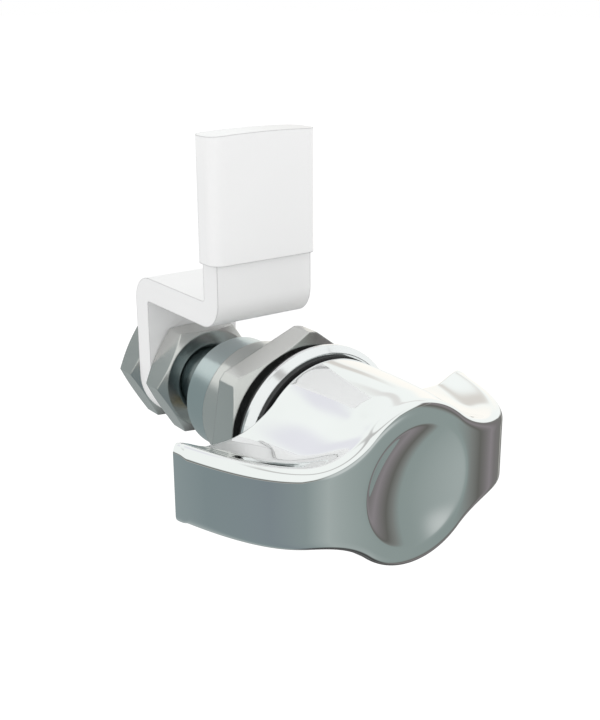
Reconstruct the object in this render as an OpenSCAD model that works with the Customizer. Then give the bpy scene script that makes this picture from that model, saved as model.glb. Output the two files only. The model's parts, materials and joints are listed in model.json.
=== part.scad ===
// Quarter-turn cam latch with a wing knob.
// The turning axis lies along Y: the knob is in front (-Y), the cam behind the panel (+Y), its tip up (+Z).
// The origin is the centre of the panel seat, which is the rear face of the gasket.

/* [Panel and seal] */
// Thickness of the panel that fits between gasket and mounting nut
panel_t = 2.2; // [2.1:0.1:4]
// Thickness of the flat gasket
gasket_t = 0.8; // [0.6:0.1:2.5]
// Outer diameter of the gasket
gasket_d = 24.8; // [22:0.1:25.2]

/* [Housing] */
// Diameter of the barrel that passes through the panel
barrel_d = 17.2; // [16.6:0.1:17.6]
// Length of the barrel behind the panel seat
barrel_len = 20.6; // [18:0.1:30]
// Diameter of the flange
flange_d = 25.5; // [25.2:0.1:30]
// Thickness of the flange
flange_t = 1.4; // [1.3:0.1:3]
// Width of the bevel on the flange's front edge
flange_bevel = 0.9; // [0.3:0.1:1.2]
// Diameter of the pocket for the retaining ring in the barrel's rear end
pocket_d = 13.2; // [12.8:0.1:13.8]
// Depth of that pocket
pocket_depth = 3.4; // [2.8:0.1:6]

/* [Mounting nut] */
// Width of the mounting nut across its flats
nut_af = 24; // [23:0.5:27]
// Height of its hexagon
nut_h = 4.5; // [3:0.1:8]
// Diameter that rounds off its six corners
nut_corner_d = 27; // [25:0.1:31]
// Height of the bevel on its front face
nut_bevel = 0.9; // [0.3:0.1:1.5]
// Diameter of the collar behind the hexagon
collar_d = 18.9; // [18.6:0.1:21]
// Length of the collar
collar_h = 7.4; // [2:0.1:8]
// Angle at which the nut was left when tightened
nut_turn = 21; // [0:1:59]

/* [Spindle] */
// Diameter of the spindle and of its thread
spindle_d = 10; // [9.6:0.1:10.4]
// Width across the two flats that drive the cam
spindle_flats = 7.8; // [7:0.1:9]
// Length of spindle left bare between barrel and front cam nut
bare_len = 6.7; // [2:0.1:12]
// Length of spindle that stands out behind the rear cam nut
spindle_tail = 2; // [0.5:0.1:4]
// Diameter of the shank inside the knob
shank_d = 9; // [7:0.1:9.2]
// Length of the shank inside the knob
shank_len = 11; // [8:0.5:13]

/* [Cam] */
// Thickness of the cam plate
cam_t = 3.7; // [3:0.1:5]
// Width of the cam plate
cam_w = 15.7; // [14:0.1:22]
// Step of the cam from its hub's front face to its tongue's front face
cam_offset = 20.8; // [14:0.1:22]
// Height of the crank's upper face above the axis
crank_z = 16.5; // [15:0.1:22]
// Height of the tongue's end above the axis
cam_reach = 38.5; // [34:0.1:60]
// Inner radius of the two bends
bend_in_r = 0.5; // [0.3:0.1:1.5]

/* [Cam nuts] */
// Width of the cam nuts across their flats
cam_nut_af = 16; // [15:0.5:19]
// Thickness of the cam nuts
cam_nut_h = 5.1; // [3.5:0.1:8]
// Diameter of the flat ring that is left inside their bevels
cam_nut_face_d = 15.5; // [13.5:0.1:15.8]

/* [Cam cap] */
// Wall thickness of the cap on the tongue
cap_wall = 0.8; // [0.6:0.1:1.5]
// Thickness of the cap above the tongue's end
cap_roof = 1.45; // [0.8:0.05:3]
// Length of the cap
cap_len = 17.7; // [12:0.1:22]
// Radius of the cap's upright edges
cap_r = 1.9; // [0.3:0.1:2]
// Radius of the crown on the cap's top
cap_crown_r = 150; // [40:1:200]

/* [Wing knob] */
// Width of the knob over both wings
wing_span = 48.3; // [42:0.1:64]
// Depth of the knob from its rear face to its front
knob_depth = 18.9; // [16:0.1:28]
// Fullness of the knob's outline seen from above: more makes its front flatter and its corners tighter
plan_power = 5.2; // [3:0.1:8]
// Thickness that the wings keep at their tips
tip_t = 0.9; // [0.4:0.1:2]
// How far the wings' rear corners lie inside the tips
tip_lean = 1.2; // [0.5:0.1:3]
// Height of the wings along their front lip
lip_h = 10.6; // [8:0.1:12]
// Height of the wings in the valley behind the lip
valley_h = 7.8; // [6:0.1:10]
// Width of the lip's top inside the outline
lip_w = 0.8; // [0.4:0.1:4]
// Length over which the lip runs down into the valley
lip_run = 4.2; // [1.5:0.1:6]
// Diameter of the boss at the front
boss_d = 21.8; // [20:0.1:25]
// Diameter of the neck behind the boss
neck_d = 21.8; // [19:0.1:23]
// Diameter of the bell at the knob's rear face
bell_d = 23; // [22:0.1:24]
// Radius of the hollows between bell and wings
hollow_r = 12; // [4:0.5:14]
// Radius of the knob's front edges
edge_r = 1.5; // [0.4:0.1:1.8]
// Radius of the knob's rear edges
rear_edge_r = 0.8; // [0.3:0.1:1.2]
// Diameter of the dish in the front face
dish_d = 16.2; // [12:0.1:18]
// Depth of the dish
dish_depth = 2.6; // [1:0.1:4]

/* [Quarter-turn stop] */
// Turn of the knob between its stops
turn = 90; // [45:5:120]
// Diameter of the stop pin
stop_d = 1.7; // [1.2:0.1:1.8]
// Radius of the circle on which the stop pin runs
stop_circle_r = 7; // [6.7:0.05:7.2]
// Length of the stop pin inside the knob
stop_hold = 4; // [3:0.1:6]
// Angle of the stop pin at rest, counted from +X towards +Z
stop_angle = -135; // [-180:1:180]

/* [Small parts] */
// Thickness of the slip ring between flange and knob
slip_t = 0.5; // [0.3:0.05:0.8]
// Thickness of the thrust washer
washer_t = 0.8; // [0.5:0.1:1]
// Thickness of the retaining ring
ring_t = 1; // [0.7:0.1:1.2]
// Width of the retaining ring's opening
ring_mouth = 5; // [3:0.1:6]
// Section diameter of the spindle's O-ring
seal_d = 1.3; // [1:0.05:1.6]
// Place of the O-ring behind the panel seat
seal_y = 4; // [2:0.1:12]
// Diameter of the cross pin that holds the knob on the shank
cross_pin_d = 2.4; // [1.6:0.1:3]
// How far the cross pin's end stands out below the bell
cross_pin_out = 0.1; // [0.05:0.05:0.3]

/* [Clearances] */
// Radial clearance of the spindle in the housing
run_gap = 0.05; // [0.02:0.01:0.1]
// Clearance between pieces that turn against each other
turn_gap = 0.3; // [0.25:0.05:0.4]
// Clearance of pieces that are assembled and stay still
seat_gap = 0.05; // [0.02:0.01:0.1]

/* [Hidden] */
$fn = 96;
eps = 0.01;
big = 200;
// How far a cutting body stands out of what it cuts
over = 1;

// Depth of the retaining groove as a share of the ring's thickness
ring_bite = 0.6;
// Half width of the O-ring's groove as a share of the ring's section
seal_room = 0.7;
// Reach of the stop pin into the flange as a share of its thickness
stop_bite = 0.7;
// Width of the nuts' thread bevels as a share of the spindle's radius
lead_share = 0.16;
// Reach of the cross pin above the axis as a share of the shank's diameter
pin_reach = 0.3;
// How much sooner than at its rear face the bell is at its full width
bell_rise = 1.25;
// Most that a rounded edge takes of the depth of a knob section
edge_share = 0.45;
// Width of the bevels at the barrel's and the spindle's rear ends
end_bevel = 0.6;
// Slope of the bevels on the nuts' faces
nut_slope = 30;

// Places along the axis, from the knob's front to the spindle's end
flange_back = -gasket_t;
flange_front = flange_back - flange_t;
knob_back = flange_front - slip_t - turn_gap;
knob_front = knob_back - knob_depth;
nut_front = panel_t;
nut_back = nut_front + nut_h;
collar_back = nut_back + collar_h;
pocket_floor = barrel_len - pocket_depth;
ring_front = pocket_floor + washer_t + turn_gap;
ring_back = ring_front + ring_t;
cam_nut_front = barrel_len + bare_len;
cam_front = cam_nut_front + cam_nut_h;
cam_back = cam_front + cam_t;
rear_nut_back = cam_back + cam_nut_h;
spindle_back = rear_nut_back + spindle_tail;
tongue_front = cam_front - cam_offset;
shank_front = knob_back - shank_len;
cross_pin_y = (knob_back + shank_front) / 2;
cross_pin_top = shank_d * pin_reach;
flats_front = cam_nut_front + cam_nut_h / 2;

// Radii that fit each other
spindle_r = spindle_d / 2;
bore_r = spindle_r + run_gap;
barrel_r = barrel_d / 2;
shank_r = shank_d / 2;
ring_groove_r = spindle_r - ring_t * ring_bite;
seal_floor_r = spindle_r - seal_d;
seal_half_w = seal_d * seal_room;
slip_in_r = stop_circle_r + stop_d / 2 + 2 * turn_gap;
slip_out_r = flange_d / 2 - flange_bevel - turn_gap;
stop_tip_y = flange_front + flange_t * stop_bite;
stop_floor_y = stop_tip_y + turn_gap;
stop_slot_r = stop_d / 2 + turn_gap;
bend_r = bend_in_r + cam_t;
cap_front = tongue_front - seat_gap - cap_wall;
cap_back = tongue_front + cam_t + seat_gap + cap_wall;
cap_half_w = cam_w / 2 + seat_gap + cap_wall;
cap_top = cam_reach + seat_gap + cap_roof;
cap_low = cap_top - cap_len;
thread_lead = spindle_r * lead_share;

// The knob is a row of upright sections, one at each station of its plan, from the left tip to the right tip
stations = 96;
wing_y = knob_back - tip_t;
half_span = wing_span / 2;
rear_share = 1 - tip_lean / half_span;
section_steps = [0, 0.03, 0.12, 0.27, 0.5, 0.75, 1];
body_steps = [0.1, 0.2, 0.3, 0.4, 0.5, 0.62, 0.74, 0.87];

// Turns a shape drawn along +Z so that it runs along +Y
module along_y(y) {
    translate([0, y, 0]) rotate([-90, 0, 0]) children();
}

// A cylinder of radius r about the axis, from y0 to y1
module rod(r, y0, y1) {
    along_y(y0) cylinder(r = r, h = y1 - y0);
}

// A flat ring about the axis
module ring(r_out, r_in, y0, y1) {
    difference() {
        rod(r_out, y0, y1);
        rod(r_in, y0 - over, y1 + over);
    }
}

// A profile of [radius, y] points turned about the axis
module turned(points) {
    rotate([-90, 0, 0]) rotate_extrude() polygon(points);
}

// A hexagon prism, one corner at the given angle from +X
module hex_bar(af, y0, y1, corner) {
    along_y(y0) rotate(-corner) cylinder(r = af / sqrt(3), h = y1 - y0, $fn = 6);
}

// Plan of the knob: place of its front at x, flat across the middle and swept back to the tips
function plan_y(x) = knob_front + (wing_y - knob_front) * pow(abs(x) / half_span, plan_power);

// Distance of the plan's point p inside the outline, as the height of the triangle that the outline cuts off
function plan_depth(p) =
    let (back = min(max((p.y - knob_front) / (wing_y - knob_front), 0), 1),
         dx = max(half_span * pow(back, 1 / plan_power) - abs(p.x), 0),
         dy = max(p.y - plan_y(p.x), 0))
    min(dx, dy) < eps ? 0 : dx * dy / norm([dx, dy]);

// Upper outline at x of a disc of radius r on a bar of half height h, the corner between them filled by f
function disc_on_bar(x, r, h, f) =
    let (c = sqrt(pow(r + f, 2) - pow(h + f, 2)), a = abs(x))
    a >= c ? h : a > c * r / (r + f) ? h + f - sqrt(f * f - pow(a - c, 2)) : sqrt(r * r - a * a);

// Drop of a rounded edge of radius r at the distance d from the edge
function edge_drop(d, r) = d >= r ? 0 : r - sqrt(r * r - pow(r - d, 2));
function smooth(t) = let (u = min(max(t, 0), 1)) u * u * (3 - 2 * u);

// Height of the knob's upper side at the plan's point p, at the distance d along a section of length deep
function knob_z(p, d, deep) =
    let (inside = plan_depth(p),
         t = smooth((inside - lip_w) / lip_run),
         body_r = (neck_d + (bell_d - neck_d) * sin(90 * min(1, bell_rise * d / deep))) / 2,
         r = boss_d / 2 * (1 - t) + body_r * t,
         h = (lip_h * (1 - t) + valley_h * t) / 2,
         front_r = min(edge_r, deep * edge_share),
         rear_r = min(rear_edge_r, deep * edge_share))
    disc_on_bar(p.x, r, h, hollow_r) - edge_drop(inside, front_r) - edge_drop(deep - d, rear_r);

// Distances behind the front at which a section has its points: front edge, lip and valley, rear edge
function section_depths(deep) =
    let (front_r = min(edge_r, deep * edge_share), rear_r = min(rear_edge_r, deep * edge_share))
    concat(
        [for (s = section_steps) s * front_r],
        [for (s = body_steps) front_r + s * (deep - front_r - rear_r)],
        [for (i = [len(section_steps) - 1 : -1 : 0]) deep - section_steps[i] * rear_r]
    );

// One closed section at x: along the upper side from rear to front, then back along the lower side
function knob_section(x) =
    let (front = [x, plan_y(x)],
         rear = [x * rear_share, knob_back],
         deep = norm(rear - front),
         depths = section_depths(deep),
         n = len(depths),
         upper = [for (d = depths)
             let (p = front + (rear - front) * d / deep) [p.x, p.y, knob_z(p, d, deep)]])
    concat([for (i = [n - 1 : -1 : 0]) upper[i]], [for (p = upper) [p.x, p.y, -p.z]]);

module knob_body() {
    sections = [for (i = [0 : stations]) knob_section(half_span * sin(180 * i / stations - 90))];
    n = len(sections[0]);
    points = [for (s = sections) for (p = s) p];
    sides = [for (i = [0 : stations - 1]) for (j = [0 : n - 1]) let (k = (j + 1) % n)
        each [[i * n + j, i * n + k, (i + 1) * n + j], [i * n + k, (i + 1) * n + k, (i + 1) * n + j]]];
    left_end = [for (j = [n - 1 : -1 : 0]) j];
    right_end = [for (j = [0 : n - 1]) stations * n + j];
    polyhedron(points, concat(sides, [left_end, right_end]));
}

// The dish is part of a sphere
module dish() {
    dish_r = (pow(dish_d / 2, 2) + pow(dish_depth, 2)) / (2 * dish_depth);
    translate([0, knob_front + dish_depth - dish_r, 0]) sphere(r = dish_r);
}

// The cross pin lies upright under the axis
module cross_pin_bar(low, top) {
    translate([0, cross_pin_y, -low]) cylinder(d = cross_pin_d, h = low + top);
}

module stop_pin_bar(r, y0, y1) {
    rotate([0, -stop_angle, 0]) translate([stop_circle_r, 0, 0]) rod(r, y0, y1);
}

module wing_knob() color("gainsboro") {
    difference() {
        knob_body();
        dish();
        rod(shank_r, shank_front, knob_back + over);
        stop_pin_bar(stop_d / 2, knob_back - stop_hold, knob_back + over);
        cross_pin_bar(bell_d, 0);
    }
}

// Spindle: shank for the knob, journal with the O-ring's groove, retaining groove, thread with two flats
module spindle() color("silver") {
    difference() {
        turned([
            [0, shank_front], [shank_r, shank_front], [shank_r, knob_back], [spindle_r, knob_back],
            [spindle_r, seal_y - seal_half_w], [seal_floor_r, seal_y - seal_half_w],
            [seal_floor_r, seal_y + seal_half_w], [spindle_r, seal_y + seal_half_w],
            [spindle_r, ring_front], [ring_groove_r, ring_front], [ring_groove_r, ring_back],
            [spindle_r, ring_back], [spindle_r, spindle_back - end_bevel],
            [spindle_r - end_bevel, spindle_back], [0, spindle_back]
        ]);
        for (side = [0, 180]) rotate([0, side, 0])
            translate([spindle_flats / 2, flats_front, -big / 2]) cube(big);
        cross_pin_bar(bell_d, cross_pin_top);
    }
}

module cross_pin() color("dimgray") {
    cross_pin_bar(bell_d / 2 + cross_pin_out, cross_pin_top);
}

module stop_pin() color("dimgray") {
    stop_pin_bar(stop_d / 2, knob_back - stop_hold, stop_tip_y);
}

module spindle_o_ring() color("black") {
    rotate([-90, 0, 0]) rotate_extrude() translate([spindle_r - seal_d / 2, seal_y]) circle(d = seal_d);
}

module retaining_ring() color("darkgray") {
    difference() {
        ring(pocket_d / 2 - turn_gap, ring_groove_r, ring_front, ring_back);
        translate([-ring_mouth / 2, ring_front - over, -big]) cube([ring_mouth, ring_t + 2 * over, big]);
    }
}

// Side view of the bent cam plate, drawn as [y, z]
module cam_side() {
    crank_low = crank_z - cam_t;
    translate([cam_front, -big / 2]) square([cam_t, big / 2 + crank_z - bend_r]);
    translate([tongue_front, crank_low + bend_r]) square([cam_t, big]);
    translate([tongue_front + bend_r, crank_low])
        square([cam_offset + cam_t - 2 * bend_r, cam_t]);
    intersection() {
        translate([cam_back - bend_r, crank_z - bend_r]) difference() {
            circle(r = bend_r);
            circle(r = bend_in_r);
        }
        translate([cam_back - bend_r, crank_z - bend_r]) square(bend_r);
    }
    intersection() {
        translate([tongue_front + bend_r, crank_low + bend_r]) difference() {
            circle(r = bend_r);
            circle(r = bend_in_r);
        }
        translate([tongue_front, crank_low]) square(bend_r);
    }
}

// Front view of the cam plate: round hub end, straight sides
module cam_outline() {
    circle(d = cam_w);
    translate([-cam_w / 2, 0]) square([cam_w, cam_reach]);
}

module cam() color("whitesmoke") {
    difference() {
        intersection() {
            translate([-cam_w / 2, 0, 0]) rotate([90, 0, 90]) linear_extrude(cam_w) cam_side();
            translate([0, cam_back + over, 0]) rotate([90, 0, 0])
                linear_extrude(cam_offset + cam_t + 2 * over) cam_outline();
        }
        intersection() {
            rod(spindle_r + seat_gap, cam_front - over, cam_back + over);
            translate([-spindle_flats / 2 - seat_gap, cam_front - over, -cam_w])
                cube([spindle_flats + 2 * seat_gap, cam_t + 2 * over, 2 * cam_w]);
        }
    }
}

// Hexagon nut with bevelled corners on both faces and bevelled thread ends
module cam_nut(y0) {
    y1 = y0 + cam_nut_h;
    corner_r = cam_nut_af / sqrt(3);
    face_r = cam_nut_face_d / 2;
    bevel = (corner_r - face_r) * tan(nut_slope);
    difference() {
        intersection() {
            hex_bar(cam_nut_af, y0, y1, 0);
            turned([
                [0, y0], [face_r, y0], [corner_r, y0 + bevel], [corner_r, y1 - bevel], [face_r, y1], [0, y1]
            ]);
        }
        turned([
            [0, y0 - eps], [spindle_r + thread_lead, y0 - eps], [spindle_r + seat_gap, y0 + thread_lead],
            [spindle_r + seat_gap, y1 - thread_lead], [spindle_r + thread_lead, y1 + eps], [0, y1 + eps]
        ]);
    }
}

module front_cam_nut() color("darkgray") cam_nut(cam_nut_front);

module rear_cam_nut() color("darkgray") cam_nut(cam_back);

module cap_outline(half_w, y0, y1, r) {
    translate([-half_w + r, y0]) square([2 * (half_w - r), y1 - y0]);
    translate([-half_w, y0 + r]) square([2 * half_w, y1 - y0 - 2 * r]);
    for (x = [-half_w + r, half_w - r], y = [y0 + r, y1 - r]) translate([x, y]) circle(r = r);
}

module cam_cap() color("whitesmoke") {
    difference() {
        intersection() {
            translate([0, 0, cap_low]) linear_extrude(cap_len)
                cap_outline(cap_half_w, cap_front, cap_back, cap_r);
            translate([0, cap_back + over, cap_top - cap_crown_r]) rotate([90, 0, 0])
                cylinder(r = cap_crown_r, h = cap_back - cap_front + 2 * over);
        }
        translate([-cam_w / 2 - seat_gap, tongue_front - seat_gap, cap_low - over])
            cube([cam_w + 2 * seat_gap, cam_t + 2 * seat_gap, cap_len + over - cap_roof]);
    }
}

// Housing: bevelled flange and barrel in one, bore for the spindle, pocket at the rear, stop's slot in front
module housing() color("lightsteelblue") {
    flange_r = flange_d / 2;
    difference() {
        turned([
            [0, flange_front], [flange_r - flange_bevel, flange_front],
            [flange_r, flange_front + flange_bevel], [flange_r, flange_back], [barrel_r, flange_back],
            [barrel_r, barrel_len - end_bevel], [barrel_r - end_bevel, barrel_len], [0, barrel_len]
        ]);
        rod(bore_r, flange_front - over, barrel_len + over);
        rod(pocket_d / 2, pocket_floor, barrel_len + over);
        rotate([0, -stop_angle, 0]) rotate([90, 0, 0]) translate([0, 0, -stop_floor_y])
            rotate_extrude(angle = turn)
            translate([stop_circle_r - stop_slot_r, 0]) square([2 * stop_slot_r, big]);
        for (limit = [stop_angle, stop_angle + turn]) rotate([0, -limit, 0])
            translate([stop_circle_r, 0, 0]) rod(stop_slot_r, flange_front - over, stop_floor_y);
    }
}

module slip_ring() color("black") ring(slip_out_r, slip_in_r, flange_front - slip_t, flange_front);

module flange_gasket() color("black") ring(gasket_d / 2, barrel_r + seat_gap, flange_back, 0);

// Mounting nut: hexagon with rounded corners and bevelled front, and a round collar behind
module mounting_nut() color("darkgray") {
    corner_r = nut_corner_d / 2;
    difference() {
        union() {
            intersection() {
                hex_bar(nut_af, nut_front, nut_back, nut_turn);
                turned([
                    [0, nut_front], [corner_r - nut_bevel / tan(nut_slope), nut_front],
                    [corner_r, nut_front + nut_bevel], [corner_r, nut_back], [0, nut_back]
                ]);
            }
            rod(collar_d / 2, nut_back - eps, collar_back);
        }
        rod(barrel_r + seat_gap, nut_front - over, collar_back + over);
    }
}

module thrust_washer() color("goldenrod")
    ring(pocket_d / 2 - seat_gap, bore_r + turn_gap, pocket_floor, pocket_floor + washer_t);

wing_knob();
spindle();
cross_pin();
stop_pin();
spindle_o_ring();
retaining_ring();
cam();
front_cam_nut();
rear_cam_nut();
cam_cap();
housing();
slip_ring();
flange_gasket();
mounting_nut();
thrust_washer();
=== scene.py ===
import json
import bmesh
import bpy
import numpy as np
from mathutils import Matrix


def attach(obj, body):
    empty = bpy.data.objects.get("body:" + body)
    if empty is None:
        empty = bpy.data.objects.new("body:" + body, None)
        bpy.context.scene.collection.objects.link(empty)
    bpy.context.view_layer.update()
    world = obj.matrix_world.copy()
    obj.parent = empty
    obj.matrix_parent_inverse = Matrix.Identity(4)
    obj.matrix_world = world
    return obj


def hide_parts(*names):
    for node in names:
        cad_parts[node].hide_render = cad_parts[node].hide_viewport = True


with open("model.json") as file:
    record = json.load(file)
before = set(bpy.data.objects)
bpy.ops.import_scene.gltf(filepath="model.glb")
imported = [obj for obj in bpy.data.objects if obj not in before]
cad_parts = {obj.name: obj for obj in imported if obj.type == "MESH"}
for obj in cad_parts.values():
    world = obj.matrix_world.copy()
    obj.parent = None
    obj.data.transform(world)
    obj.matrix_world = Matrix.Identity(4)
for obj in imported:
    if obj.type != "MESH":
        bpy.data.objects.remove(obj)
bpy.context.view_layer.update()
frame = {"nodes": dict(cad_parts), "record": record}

scene = bpy.context.scene
scene.view_settings.view_transform = "Standard"
cadNodes = frame["nodes"]
mm = 0.001
tiny = 1e-9  # keeps a division by zero away
print("frame loaded:", len(cadNodes), "nodes")

# the photograph's own view: angles in degrees, distances in millimetres
photoView = {
    "azimuth": -35.197,
    "elevation": 18.467,
    "roll": -0.343,
    "place": (-85.299, -117.720, 59.054),
    "lens": 56.756,
    "sensor": 36.0,
    "near": 10.0,
    "far": 20000.0,
}


def placeCamera(look):
    # back b = (sin a cos e, -cos a cos e, sin e), right r and up u square to it, both turned by the roll
    a, e, t = np.radians([look["azimuth"], look["elevation"], look["roll"]])
    back = np.array([np.sin(a) * np.cos(e), -np.cos(a) * np.cos(e), np.sin(e)])
    right = np.array([np.cos(a), np.sin(a), 0.0])
    up = np.cross(back, right)
    turnedRight = right * np.cos(t) + up * np.sin(t)
    turnedUp = up * np.cos(t) - right * np.sin(t)
    data = bpy.data.cameras.new("photoCamera")
    data.lens = look["lens"]
    data.sensor_width = look["sensor"]
    data.clip_start = look["near"] * mm
    data.clip_end = look["far"] * mm
    camera = bpy.data.objects.new("photoCamera", data)
    turn = np.eye(4)
    turn[:3, :3] = np.stack([turnedRight, turnedUp, back], 1)
    turn[:3, 3] = np.array(look["place"]) * mm
    camera.matrix_world = Matrix(turn.tolist())
    scene.collection.objects.link(camera)
    scene.camera = camera


placeCamera(photoView)
print("camera placed")


def gridFaces(rows, cols, start):
    # quads between neighbouring rows and columns of a grid whose points are numbered row by row
    i, j = np.meshgrid(np.arange(rows - 1), np.arange(cols - 1), indexing="ij")
    first = start + i * cols + j
    return np.stack([first, first + cols, first + cols + 1, first + 1], -1).reshape(-1, 4)


def makePiece(name, grids, sharpAngle, weld):
    # joins grids of points in millimetres into one closed mesh in metres: shared borders are welded
    points, faces, start = [], [], 0
    for grid in grids:
        rows, cols = grid.shape[:2]
        points.append(grid.reshape(-1, 3))
        faces.append(gridFaces(rows, cols, start))
        start += rows * cols
    mesh = bpy.data.meshes.new(name)
    mesh.from_pydata(np.concatenate(points) * mm, [], np.concatenate(faces).tolist())
    shell = bmesh.new()
    shell.from_mesh(mesh)
    bmesh.ops.remove_doubles(shell, verts=shell.verts, dist=weld * mm)
    bmesh.ops.dissolve_degenerate(shell, edges=shell.edges, dist=weld * mm)
    bmesh.ops.recalc_face_normals(shell, faces=shell.faces)
    shell.to_mesh(mesh)
    shell.free()
    mesh.polygons.foreach_set("use_smooth", np.ones(len(mesh.polygons), bool))
    mesh.set_sharp_from_angle(angle=np.radians(sharpAngle))
    piece = bpy.data.objects.new(name, mesh)
    scene.collection.objects.link(piece)
    return piece


# wing knob, in millimetres: the solid's sizes apart from a shallower dish and rounder tips, then how
# finely the surface is laid out
knob = {
    "span": 48.3, "depth": 18.9, "back": -3.0, "planPower": 5.2, "tip": 0.9, "tipLean": 1.2,
    "lipHeight": 10.6, "valleyHeight": 7.8, "lipWidth": 0.8, "lipRun": 4.2,
    "boss": 21.8, "neck": 21.8, "bell": 23.0, "bellRise": 1.25, "hollow": 12.0,
    "frontEdge": 1.5, "rearEdge": 0.8, "edgeShare": 0.45, "tipRound": 1.1,
    "dish": 16.2, "dishDepth": 2.0, "dishRim": 0.12,
    "stations": 240, "bodySteps": 40, "edgeSteps": 10, "faceSteps": 24, "middleHalf": 11.8,
    "dishSteps": 23, "rimSteps": 8, "rimShare": 0.1, "outerSteps": 25,
    "planSteps": 40000, "halvings": 40, "sharpAngle": 38, "weld": 1e-4,
}
knobFront = knob["back"] - knob["depth"]
wingY = knob["back"] - knob["tip"]
halfSpan = knob["span"] / 2
sweep = wingY - knobFront


def planAt(x):
    # front of the plan at x: y = front + sweep |x/a|^n
    return knobFront + sweep * (np.abs(x) / halfSpan) ** knob["planPower"]


# plan curve by its length from the middle
planX = np.linspace(-halfSpan, halfSpan, knob["planSteps"] + 1)
planY = planAt(planX)
planRun = np.concatenate([[0], np.cumsum(np.hypot(np.diff(planX), np.diff(planY)))])
planRun -= planRun[-1] / 2


def smoothStep(t):
    # 3 t^2 - 2 t^3 between 0 and 1
    t = np.clip(t, 0, 1)
    return t * t * (3 - 2 * t)


def discOnBar(x, r, h, f):
    # upper outline of a disc of radius r on a bar of half height h: sqrt(r^2 - x^2), then h, and in the
    # corner between them a hollow h + f - sqrt(f^2 - (x - c)^2) of radius f that touches both
    c = np.sqrt((r + f) ** 2 - (h + f) ** 2)
    a = np.abs(x)
    fillet = h + f - np.sqrt(np.maximum(f * f - (a - c) ** 2, 0))
    disc = np.sqrt(np.maximum(r * r - a * a, 0))
    return np.where(a >= c, h, np.where(a > c * r / (r + f), fillet, disc))


def edgeDrop(d, r):
    # drop of a rounded edge of radius r, a distance d from the edge: r - sqrt(r^2 - (r - d)^2)
    gap = np.clip(r - d, 0, r)
    return r - np.sqrt(r * r - gap * gap)


def planDepth(x, y):
    # distance inside the plan curve: dx dy / sqrt(dx^2 + dy^2), the height of the triangle whose legs
    # dx and dy run from the point to the curve
    back = np.clip((y - knobFront) / sweep, 0, 1)
    dx = np.maximum(halfSpan * back ** (1 / knob["planPower"]) - np.abs(x), 0)
    dy = np.maximum(y - planAt(x), 0)
    return dx * dy / np.maximum(np.hypot(dx, dy), tiny)


def knobSides():
    # upper side: one row of points per station of the plan, from the front edge to the rear edge, at the
    # height of a disc on a bar whose sizes blend from the lip's to the body's, less both edges' drop
    run = np.linspace(planRun[0], planRun[-1], knob["stations"] + 1)
    frontX = np.interp(run, planRun, planX)
    frontY = np.interp(run, planRun, planY)
    rearX = frontX * (1 - 2 * knob["tipLean"] / knob["span"])
    deep = np.hypot(rearX - frontX, knob["back"] - frontY)[:, None]
    frontR = np.minimum(knob["frontEdge"], deep * knob["edgeShare"])
    rearR = np.minimum(knob["rearEdge"], deep * knob["edgeShare"])
    bend = 1 - np.cos(np.linspace(0, np.pi / 2, knob["edgeSteps"] + 1))[None, :]
    body = np.linspace(0, 1, knob["bodySteps"] + 1)[None, 1:-1]
    d = np.concatenate([
        bend * frontR,
        frontR + body * (deep - frontR - rearR),
        deep - bend[:, ::-1] * rearR,
    ], 1)
    x = frontX[:, None] + (rearX - frontX)[:, None] * d / deep
    y = frontY[:, None] + (knob["back"] - frontY)[:, None] * d / deep
    inside = planDepth(x, y)
    inside[:, 0] = 0
    t = smoothStep((inside - knob["lipWidth"]) / knob["lipRun"])
    swell = np.sin(np.pi / 2 * np.minimum(1, knob["bellRise"] * d / deep))
    bodyR = (knob["neck"] + (knob["bell"] - knob["neck"]) * swell) / 2
    r = knob["boss"] / 2 * (1 - t) + bodyR * t
    h = (knob["lipHeight"] * (1 - t) + knob["valleyHeight"] * t) / 2
    dropR = np.maximum(frontR, knob["tipRound"])
    z = discOnBar(x, r, h, knob["hollow"]) - edgeDrop(inside, dropR) - edgeDrop(deep - d, rearR)
    return run, np.stack([x, y, z], -1)


def between(a, b, steps):
    # rows of points from the curve a to the curve b, in straight even steps
    t = np.linspace(0, 1, steps + 1)[:, None, None]
    return a[None] * (1 - t) + b[None] * t


def dishRadius(angle):
    # where the dish's sphere meets the front face, along a ray at the angle: by halving the stretch on
    # which the sphere comes out of the face
    low = np.zeros_like(angle)
    high = np.full_like(angle, knob["dish"])
    for _ in range(knob["halvings"]):
        mid = (low + high) / 2
        inside = dishAt(mid * np.cos(angle), mid * np.sin(angle)) > planAt(mid * np.cos(angle))
        low = np.where(inside, mid, low)
        high = np.where(inside, high, mid)
    return low


def dishAt(x, z):
    # rear half of the dish's sphere: y = centre + sqrt(R^2 - x^2 - z^2)
    ball = ((knob["dish"] / 2) ** 2 + knob["dishDepth"] ** 2) / (2 * knob["dishDepth"])
    centre = knobFront + knob["dishDepth"] - ball
    return centre + np.sqrt(np.maximum(ball * ball - x * x - z * z, 0))


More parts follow.
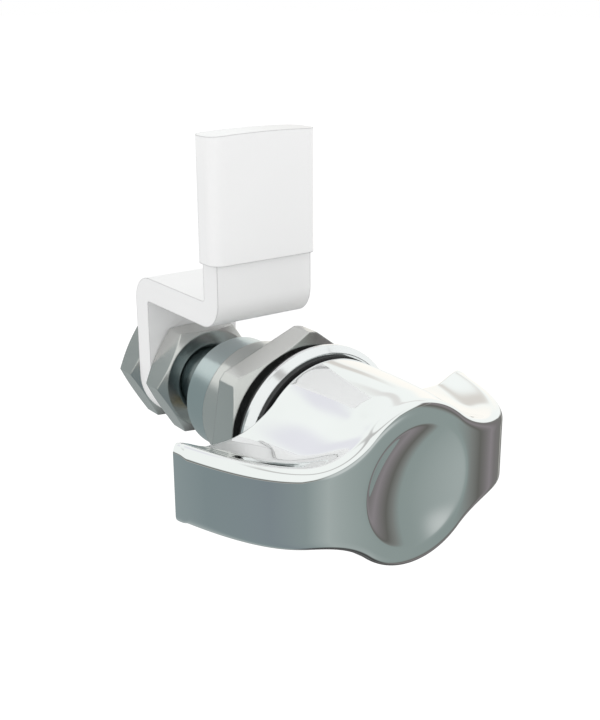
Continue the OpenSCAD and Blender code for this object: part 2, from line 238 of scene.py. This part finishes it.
def knobMiddle(run, upper):
    # front face round the dish: rays from the dish's middle to the border, finer near the rim
    runLow, runHigh = run[0], run[-1]
    zEdge = upper[:, 0, 2]
    side = np.linspace(1, -1, knob["faceSteps"] + 1)
    border = np.concatenate([
        np.stack([run, zEdge], -1),
        np.stack([np.full_like(side, runHigh), side * zEdge[-1]], -1)[1:],
        np.stack([run, -zEdge], -1)[::-1][1:],
        np.stack([np.full_like(side, runLow), -side * zEdge[0]], -1)[1:],
    ])
    angle = np.arctan2(border[:, 1], border[:, 0])
    rim = dishRadius(angle)
    rimRun = np.interp(rim * np.cos(angle), planX, planRun)
    hollow = np.linspace(0, 1 - knob["rimShare"], knob["dishSteps"] + 1)
    nearRim = 1 - knob["rimShare"] * np.linspace(1, 0, knob["rimSteps"] + 1)[1:] ** 2
    inner = np.concatenate([hollow, nearRim])[:, None]
    outer = (np.linspace(0, 1, knob["outerSteps"] + 1) ** 2)[1:, None]
    x = np.concatenate([inner * (rim * np.cos(angle))[None],
                        np.interp(rimRun + (border[:, 0] - rimRun) * outer, planRun, planX)])
    z = np.concatenate([inner * (rim * np.sin(angle))[None],
                        rim * np.sin(angle) + (border[:, 1] - rim * np.sin(angle)) * outer])
    face = planAt(x)
    dish = dishAt(x, z)
    # the rim is rounded by a smooth maximum: (a + b + sqrt((a - b)^2 + k^2)) / 2
    y = (face + dish + np.sqrt((face - dish) ** 2 + knob["dishRim"] ** 2)) / 2
    x[-1] = np.interp(border[:, 0], planRun, planX)
    y[-1] = np.interp(border[:, 0], planRun, planY)
    return np.stack([x, y, z], -1)


def makeKnob():
    # upper side, its mirror image below, and straight rows between the two on front, rear and tips
    run, upper = knobSides()
    lower = upper * np.array([1, 1, -1])
    frontTop = upper[:, 0]
    frontLow = lower[:, 0]
    middle = np.abs(upper[:, 0, 0]) <= knob["middleHalf"]
    first, last = np.flatnonzero(middle)[[0, -1]]
    wings = [between(frontTop[:first + 1], frontLow[:first + 1], knob["faceSteps"]),
             between(frontTop[last:], frontLow[last:], knob["faceSteps"])]
    rear = between(upper[:, -1], lower[:, -1], knob["faceSteps"])
    tips = [between(upper[k], lower[k], knob["faceSteps"]) for k in (0, -1)]
    front = knobMiddle(run[first:last + 1], upper[first:last + 1])
    grids = [upper, lower, *wings, front, rear, *tips]
    return makePiece("wingKnob", grids, knob["sharpAngle"], knob["weld"])


wingKnob = makeKnob()
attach(wingKnob, "turning_body")
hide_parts("wing_knob")
print("wing knob:", len(wingKnob.data.polygons), "faces")

# what all finishes share: the noise's middle range and detail, the samples of a rounded edge, the cosine
# between normals at which the painted edge shade is full, half the width of a polished front's border in
# metres, and the plain index of refraction
shading = {
    "noiseLow": 0.3, "noiseHigh": 0.7, "cloudDetail": 2, "grainDetail": 4, "evenly": (1, 1, 1),
    "edgeSamples": 6, "outlineSamples": 8, "outlineFull": 0.8, "polishBorder": 5e-5, "ior": 1.5,
}


def newMaterial(name):
    material = bpy.data.materials.new(name)
    material.use_nodes = True
    return material, material.node_tree, material.node_tree.nodes["Principled BSDF"]


def grain(tree, scale, detail, stretch):
    # noise on the piece's own coordinates, drawn out along an axis where the stretch is small
    coord = tree.nodes.new("ShaderNodeTexCoord")
    shape = tree.nodes.new("ShaderNodeMapping")
    noise = tree.nodes.new("ShaderNodeTexNoise")
    shape.inputs["Scale"].default_value = stretch
    noise.inputs["Scale"].default_value = scale
    noise.inputs["Detail"].default_value = detail
    tree.links.new(coord.outputs["Object"], shape.inputs["Vector"])
    tree.links.new(shape.outputs["Vector"], noise.inputs["Vector"])
    return noise.outputs["Fac"]


def spread(tree, value, low, high):
    # brings the middle of the noise's range to low and high
    span = tree.nodes.new("ShaderNodeMapRange")
    span.inputs["From Min"].default_value = shading["noiseLow"]
    span.inputs["From Max"].default_value = shading["noiseHigh"]
    span.inputs["To Min"].default_value = low
    span.inputs["To Max"].default_value = high
    tree.links.new(value, span.inputs["Value"])
    return span.outputs["Result"]


def tint(tree, value, dark, light):
    # dark where the noise is low, light where it is high
    mix = tree.nodes.new("ShaderNodeMix")
    mix.data_type = "RGBA"
    mix.inputs["A"].default_value = (*dark, 1)
    mix.inputs["B"].default_value = (*light, 1)
    tree.links.new(spread(tree, value, 0, 1), mix.inputs["Factor"])
    return mix.outputs["Result"]


def relief(tree, value, shader, height, edge):
    # fine relief on top of edges that catch the light as if they were rounded
    bump = tree.nodes.new("ShaderNodeBump")
    bump.inputs["Distance"].default_value = height
    tree.links.new(value, bump.inputs["Height"])
    tree.links.new(bump.outputs["Normal"], shader.inputs["Normal"])
    if edge:
        roundedNormal = tree.nodes.new("ShaderNodeBevel")
        roundedNormal.samples = shading["edgeSamples"]
        roundedNormal.inputs["Radius"].default_value = edge
        tree.links.new(roundedNormal.outputs["Normal"], bump.inputs["Normal"])


def behind(tree, place):
    # 0 in front of the place on the turning axis, 1 behind it, with a narrow border between
    coord = tree.nodes.new("ShaderNodeTexCoord")
    parts = tree.nodes.new("ShaderNodeSeparateXYZ")
    span = tree.nodes.new("ShaderNodeMapRange")
    span.inputs["From Min"].default_value = place - shading["polishBorder"]
    span.inputs["From Max"].default_value = place + shading["polishBorder"]
    tree.links.new(coord.outputs["Object"], parts.inputs["Vector"])
    tree.links.new(parts.outputs["Y"], span.inputs["Value"])
    return span.outputs["Result"]


def halves(tree, share, front, rear):
    # front's value before the place, rear's value behind it
    mix = tree.nodes.new("ShaderNodeMix")
    mix.data_type = "RGBA"
    tree.links.new(share, mix.inputs["Factor"])
    tree.links.new(front, mix.inputs["A"])
    tree.links.new(rear, mix.inputs["B"])
    return mix.outputs["Result"]


def outlined(tree, colour, width, tone):
    # painted shade at edges: to the tone where the rounded normal m leaves the face's own n, by 1 - n.m
    roundedNormal = tree.nodes.new("ShaderNodeBevel")
    face = tree.nodes.new("ShaderNodeNewGeometry")
    dot = tree.nodes.new("ShaderNodeVectorMath")
    span = tree.nodes.new("ShaderNodeMapRange")
    mix = tree.nodes.new("ShaderNodeMix")
    roundedNormal.samples = shading["outlineSamples"]
    roundedNormal.inputs["Radius"].default_value = width
    dot.operation = "DOT_PRODUCT"
    span.inputs["From Min"].default_value = 1.0
    span.inputs["From Max"].default_value = shading["outlineFull"]
    mix.data_type = "RGBA"
    mix.inputs["B"].default_value = (*tone, 1)
    tree.links.new(roundedNormal.outputs["Normal"], dot.inputs[0])
    tree.links.new(face.outputs["Normal"], dot.inputs[1])
    tree.links.new(dot.outputs["Value"], span.inputs["Value"])
    tree.links.new(span.outputs["Result"], mix.inputs["Factor"])
    tree.links.new(colour, mix.inputs["A"])
    return mix.outputs["Result"]


def makeFinish(name, look):
    # colour from broad clouds, roughness and relief from fine grain; a polished front where one is given
    material, tree, shader = newMaterial(name)
    shader.inputs["Metallic"].default_value = look["metallic"]
    shader.inputs["IOR"].default_value = look.get("ior", shading["ior"])
    clouds = grain(tree, look["cloudScale"], shading["cloudDetail"], shading["evenly"])
    fine = grain(tree, look["grainScale"], shading["grainDetail"], look.get("stretch", shading["evenly"]))
    colour = tint(tree, clouds, look["dark"], look["light"])
    rough = spread(tree, fine, *look["rough"])
    if "polishedTo" in look:
        share = behind(tree, look["polishedTo"])
        polished = tint(tree, clouds, look["polishedDark"], look["polishedLight"])
        colour = halves(tree, share, polished, colour)
        rough = halves(tree, share, spread(tree, fine, *look["polishedRough"]), rough)
    # painted shade darkens the edges of the white plastics, as a grey outline
    if "outline" in look:
        colour = outlined(tree, colour, look["edge"], look["outline"])
    tree.links.new(colour, shader.inputs["Base Color"])
    tree.links.new(rough, shader.inputs["Roughness"])
    relief(tree, fine, shader, look["relief"], look.get("edge", 0.0))
    return material


# finishes by slot: colours are linear, scales are per metre, lengths are in metres
finishes = {
    "knob_chrome": {
        "metallic": 1.0, "dark": (0.89, 0.90, 0.90), "light": (0.94, 0.95, 0.95), "cloudScale": 60,
        "grainScale": 900, "rough": (0.015, 0.03), "relief": 5e-8,
    },
    "housing_zinc": {
        "metallic": 1.0, "dark": (0.50, 0.57, 0.58), "light": (0.56, 0.63, 0.64), "cloudScale": 90,
        "grainScale": 700, "stretch": (0.2, 4, 0.2), "rough": (0.2, 0.26), "relief": 1e-6, "edge": 2e-4,
        "polishedDark": (0.86, 0.87, 0.88), "polishedLight": (0.92, 0.92, 0.94),
        "polishedTo": -0.0005, "polishedRough": (0.06, 0.1),
    },
    # spindle: its own zinc-plated grey, darkened by painted shade from its place between nut and barrel
    "zinc_steel": {
        "metallic": 1.0, "dark": (0.26, 0.31, 0.32), "light": (0.30, 0.35, 0.36), "cloudScale": 90,
        "grainScale": 700, "stretch": (0.2, 4, 0.2), "rough": (0.2, 0.25), "relief": 1e-6,
    },
    "nut_steel": {
        "metallic": 1.0, "dark": (0.66, 0.66, 0.645), "light": (0.70, 0.70, 0.685), "cloudScale": 60,
        "grainScale": 1400, "stretch": (1, 0.25, 1), "rough": (0.2, 0.25), "relief": 1e-6, "edge": 3e-4,
    },
    "pin_steel": {
        "metallic": 1.0, "dark": (0.40, 0.40, 0.41), "light": (0.50, 0.50, 0.51), "cloudScale": 200,
        "grainScale": 1600, "rough": (0.25, 0.4), "relief": 4e-6,
    },
    "washer_brass": {
        "metallic": 1.0, "dark": (0.66, 0.50, 0.24), "light": (0.76, 0.60, 0.32), "cloudScale": 200,
        "grainScale": 1600, "rough": (0.25, 0.4), "relief": 4e-6,
    },
    "seal_rubber": {
        "metallic": 0.0, "dark": (0.012, 0.012, 0.013), "light": (0.022, 0.022, 0.023),
        "cloudScale": 200, "grainScale": 2500, "rough": (0.45, 0.65), "relief": 2e-5,
    },
    "slip_plastic": {
        "metallic": 0.0, "dark": (0.014, 0.014, 0.015), "light": (0.022, 0.022, 0.023),
        "cloudScale": 200, "grainScale": 2000, "rough": (0.35, 0.5), "relief": 1e-5,
    },
    # cam and cap: their edges go to the grey tone as painted edge shade
    "cam_plastic": {
        "metallic": 0.0, "dark": (0.95, 0.95, 0.95), "light": (0.97, 0.97, 0.97), "cloudScale": 80,
        "grainScale": 1800, "rough": (0.295, 0.305), "relief": 5e-7, "edge": 3e-4,
        "outline": (0.7, 0.7, 0.7), "ior": 1.3,
    },
    "cap_plastic": {
        "metallic": 0.0, "dark": (0.97, 0.97, 0.97), "light": (0.985, 0.985, 0.985), "cloudScale": 80,
        "grainScale": 1800, "rough": (0.235, 0.245), "relief": 5e-7, "edge": 3e-4,
        "outline": (0.7, 0.7, 0.7), "ior": 1.3,
    },
}
materials = {slot: makeFinish(slot, look) for slot, look in finishes.items()}
slotOf = {part["node"]: part["material_slot"] for part in frame["record"]["subparts"]}


def dress(piece, slot):
    piece.data.materials.clear()
    piece.data.materials.append(materials[slot])


for nodeName, node in cadNodes.items():
    dress(node, slotOf[nodeName])
dress(wingKnob, "knob_chrome")
print("finishes:", len(materials))

# studio: white world, pale floor, a dome of grey and pale cards that only the metal sees, soft lamps
# lengths are in millimetres; the dome's tones go round the knob, by degrees from its front towards its
# right side, and each stop is a turn with its tone; a card's place is its turn and its rise over the
# horizon, and its size is half its width and height, all in degrees
studio = {
    "floorZ": -85.0, "floorX": (-2500, 3500), "floorY": (-600, 5000), "floorCounts": (19, 17),
    "floorPaint": 0.85, "floorGlow": 0.29, "worldFill": 0.9,
    "domeRadius": 105.0, "domeCentre": (0.0, -15.0), "domeZ": -54.0, "domeTop": (0.95, 0.98, 0.96),
    "flatSteps": 32, "wallSteps": 80, "archSteps": 180, "turnSteps": 360,
    "tones": [
        (-180, (0.38, 0.42, 0.42)), (-145, (0.36, 0.41, 0.41)), (-111, (0.22, 0.27, 0.28)),
        (-75, (0.21, 0.25, 0.27)), (-35, (0.25, 0.30, 0.30)), (-5, (0.37, 0.42, 0.41)),
        (35, (0.27, 0.32, 0.31)), (44, (0.26, 0.31, 0.30)), (51, (0.20, 0.21, 0.20)),
        (58, (0.13, 0.13, 0.12)), (66, (0.19, 0.18, 0.18)), (74, (0.25, 0.23, 0.24)),
        (84, (0.19, 0.18, 0.18)), (103, (0.18, 0.18, 0.17)), (106, (0.50, 0.49, 0.46)),
        (109, (0.30, 0.30, 0.29)), (112, (0.09, 0.09, 0.09)), (116, (0.30, 0.30, 0.29)),
        (122, (0.78, 0.77, 0.75)), (132, (0.80, 0.79, 0.77)), (140, (0.50, 0.50, 0.50)),
        (150, (0.40, 0.41, 0.41)), (165, (0.40, 0.42, 0.42)), (180, (0.38, 0.42, 0.42)),
    ],
    "edge": [
        (-180, 3), (-128, 3), (-115, -12), (-40, -12), (-25, 0), (0, 24), (20, 36),
        (60, 38), (80, 38), (95, 0), (110, -14), (120, -20), (160, -20), (180, 3),
    ],
    "fadeOver": (8, 14),
    "lineShare": [(-150, 0), (-130, 1), (-30, 1), (0, 0.4), (85, 0.4), (100, 0)],
    "lines": [
        {"over": 1.4, "tall": 1.1, "tone": (0.48, 0.48, 0.46)},
        {"over": 5.6, "tall": 3.0, "tone": (0.20, 0.19, 0.17)},
    ],
    "cards": [
        {"turn": 135, "rise": 9.0, "wide": 20, "tall": 12.0, "tone": (1.05, 1.02, 0.96)},
        {"turn": 148, "rise": 25.0, "wide": 10, "tall": 3.0, "tone": (0.72, 0.69, 0.65)},
        {"turn": 130, "rise": 44.0, "wide": 26, "tall": 4.0, "tone": (0.78, 0.77, 0.75)},
        {"turn": -60, "rise": 60.0, "wide": 80, "tall": 4.0, "tone": (0.55, 0.55, 0.54)},
        {"turn": -165, "rise": 44.0, "wide": 14, "tall": 6.0, "tone": (0.83, 0.83, 0.88)},
        {"turn": 4, "rise": 13.0, "wide": 19, "tall": 13.0, "tone": (0.56, 0.60, 0.59)},
        {"turn": 140, "rise": -62.0, "wide": 45, "tall": 20.0, "tone": (0.07, 0.07, 0.07)},
        {"turn": 0, "rise": -90.0, "wide": 999, "tall": 13.0, "tone": (0.06, 0.06, 0.06)},
    ],
    "lamps": [
        {"name": "topLamp", "place": (-120, -60, 330), "size": 300, "power": 0.03},
        {"name": "frontLamp", "place": (40, -340, 120), "size": 240, "power": 0.09},
        {"name": "leftLamp", "place": (-330, 40, 140), "size": 220, "power": 0.05},
    ],
}


def seenBySight(tree):
    # 1 for camera, glossy and transmission rays, 0 for the rays that light the object
    path = tree.nodes.new("ShaderNodeLightPath")
    most = path.outputs["Is Camera Ray"]
    for ray in ("Is Glossy Ray", "Is Transmission Ray"):
        join = tree.nodes.new("ShaderNodeMath")
        join.operation = "MAXIMUM"
        tree.links.new(most, join.inputs[0])
        tree.links.new(path.outputs[ray], join.inputs[1])
        most = join.outputs[0]
    return most


def makeWorld():
    # white to camera and metal, a little less as light on the object
    world = bpy.data.worlds.new("studioWorld")
    world.use_nodes = True
    tree = world.node_tree
    span = tree.nodes.new("ShaderNodeMapRange")
    span.inputs["To Min"].default_value = studio["worldFill"]
    span.inputs["To Max"].default_value = 1.0
    tree.links.new(seenBySight(tree), span.inputs["Value"])
    sky = tree.nodes["Background"]
    sky.inputs["Color"].default_value = (1, 1, 1, 1)
    tree.links.new(span.outputs["Result"], sky.inputs["Strength"])
    scene.world = world


def stageMesh(name, points, material):
    # one open grid of points in millimetres, which is studio equipment and no part of the latch
    mesh = bpy.data.meshes.new(name)
    rows, cols = points.shape[:2]
    mesh.from_pydata(points.reshape(-1, 3) * mm, [], gridFaces(rows, cols, 0).tolist())
    mesh.materials.append(material)
    piece = bpy.data.objects.new(name, mesh)
    scene.collection.objects.link(piece)
    return piece


def makeFloor():
    # flat grid; its paint is lit and shadowed, and a glow seen by camera and metal brings it to white
    material = bpy.data.materials.new("paleFloor")
    material.use_nodes = True
    tree = material.node_tree
    tree.nodes.clear()
    paint = tree.nodes.new("ShaderNodeBsdfDiffuse")
    glow = tree.nodes.new("ShaderNodeEmission")
    both = tree.nodes.new("ShaderNodeAddShader")
    out = tree.nodes.new("ShaderNodeOutputMaterial")
    paint.inputs["Color"].default_value = (studio["floorPaint"],) * 3 + (1,)
    lift = tree.nodes.new("ShaderNodeMath")
    lift.operation = "MULTIPLY"
    lift.inputs[1].default_value = studio["floorGlow"]
    tree.links.new(seenBySight(tree), lift.inputs[0])
    tree.links.new(lift.outputs[0], glow.inputs["Strength"])
    tree.links.new(paint.outputs[0], both.inputs[0])
    tree.links.new(glow.outputs[0], both.inputs[1])
    tree.links.new(both.outputs[0], out.inputs["Surface"])
    across = np.linspace(*studio["floorX"], studio["floorCounts"][0])
    along = np.linspace(*studio["floorY"], studio["floorCounts"][1])
    x, y = np.meshgrid(across, along, indexing="ij")
    stageMesh("floor", np.stack([x, y, np.full_like(x, studio["floorZ"])], -1), material)


def byTurn(turns, stops):
    # straight lines from stop to stop, for each number that a stop holds
    angles = [angle for angle, _ in stops]
    values = np.array([value for _, value in stops], float).reshape(len(stops), -1)
    return np.stack([np.interp(turns, angles, column) for column in values.T], -1)


def domeTones(turns, rise):
    # low tone by the turn t, pale a little over the edge e(t); lines follow that edge, and cards stand
    # free of it: a line mixes in by exp(-(de/h)^4), a card by exp(-(dt/w)^4 - (dr/h)^4)
    tone = byTurn(turns, studio["tones"])
    over = rise - byTurn(turns, studio["edge"])[..., 0]
    fade = smoothStep((over - studio["fadeOver"][0]) / np.ptp(studio["fadeOver"]))[..., None]
    colour = tone * (1 - fade) + np.array(studio["domeTop"]) * fade
    lined = byTurn(turns, studio["lineShare"])[..., 0]
    for line in studio["lines"]:
        share = (lined * np.exp(-((over - line["over"]) / line["tall"]) ** 4))[..., None]
        colour = colour * (1 - share) + np.array(line["tone"]) * share
    for card in studio["cards"]:
        dt = (turns - card["turn"] + 180) % 360 - 180
        share = np.exp(-(dt / card["wide"]) ** 4 - ((rise - card["rise"]) / card["tall"]) ** 4)[..., None]
        colour = colour * (1 - share) + np.array(card["tone"]) * share
    return np.concatenate([colour, np.ones_like(fade)], -1)


def makeDome():
    # turned profile round the knob: flat out to R, upright to the horizon, then a quarter circle to the top,
    # each point at x = R sin t, y = -R cos t from the dome's middle
    flat = np.linspace(0, 1, studio["flatSteps"] + 1)[:-1]
    wall = np.linspace(studio["domeZ"], 0, studio["wallSteps"] + 1)[:-1]
    up = np.linspace(0, np.pi / 2, studio["archSteps"] + 1)
    radius = np.concatenate([flat, np.ones_like(wall), np.cos(up)]) * studio["domeRadius"]
    height = np.concatenate([np.full_like(flat, studio["domeZ"]), wall, np.sin(up) * studio["domeRadius"]])
    turns = np.linspace(-180, 180, studio["turnSteps"] + 1)[:, None]
    x = studio["domeCentre"][0] + radius * np.sin(np.radians(turns))
    y = studio["domeCentre"][1] - radius * np.cos(np.radians(turns))
    z = np.broadcast_to(height, x.shape)
    colour = domeTones(turns, np.degrees(np.arctan2(height, radius)))
    material = bpy.data.materials.new("cardDome")
    material.use_nodes = True
    tree = material.node_tree
    tree.nodes.clear()
    read = tree.nodes.new("ShaderNodeAttribute")
    glow = tree.nodes.new("ShaderNodeEmission")
    out = tree.nodes.new("ShaderNodeOutputMaterial")
    read.attribute_name = "tone"
    tree.links.new(read.outputs["Color"], glow.inputs["Color"])
    tree.links.new(glow.outputs[0], out.inputs["Surface"])
    dome = stageMesh("cardDome", np.stack([x, y, z], -1), material)
    paint = dome.data.color_attributes.new("tone", "FLOAT_COLOR", "POINT")
    paint.data.foreach_set("color", colour.reshape(-1))
    dome.visible_camera = dome.visible_diffuse = dome.visible_shadow = dome.visible_transmission = False


def makeLamp(look):
    # square lamp that looks from its place p to the origin: its back is p/|p|, its right is level
    data = bpy.data.lights.new(look["name"], "AREA")
    data.energy = look["power"]
    data.size = look["size"] * mm
    lamp = bpy.data.objects.new(look["name"], data)
    back = np.array(look["place"]) / np.linalg.norm(look["place"])
    right = np.cross([0, 0, 1], back)
    right /= np.linalg.norm(right)
    turn = np.eye(4)
    turn[:3, :3] = np.stack([right, np.cross(back, right), back], 1)
    turn[:3, 3] = np.array(look["place"]) * mm
    lamp.matrix_world = Matrix(turn.tolist())
    scene.collection.objects.link(lamp)


makeWorld()
makeFloor()
makeDome()
for lampLook in studio["lamps"]:
    makeLamp(lampLook)
print("studio lit:", len(studio["lamps"]), "lamps")
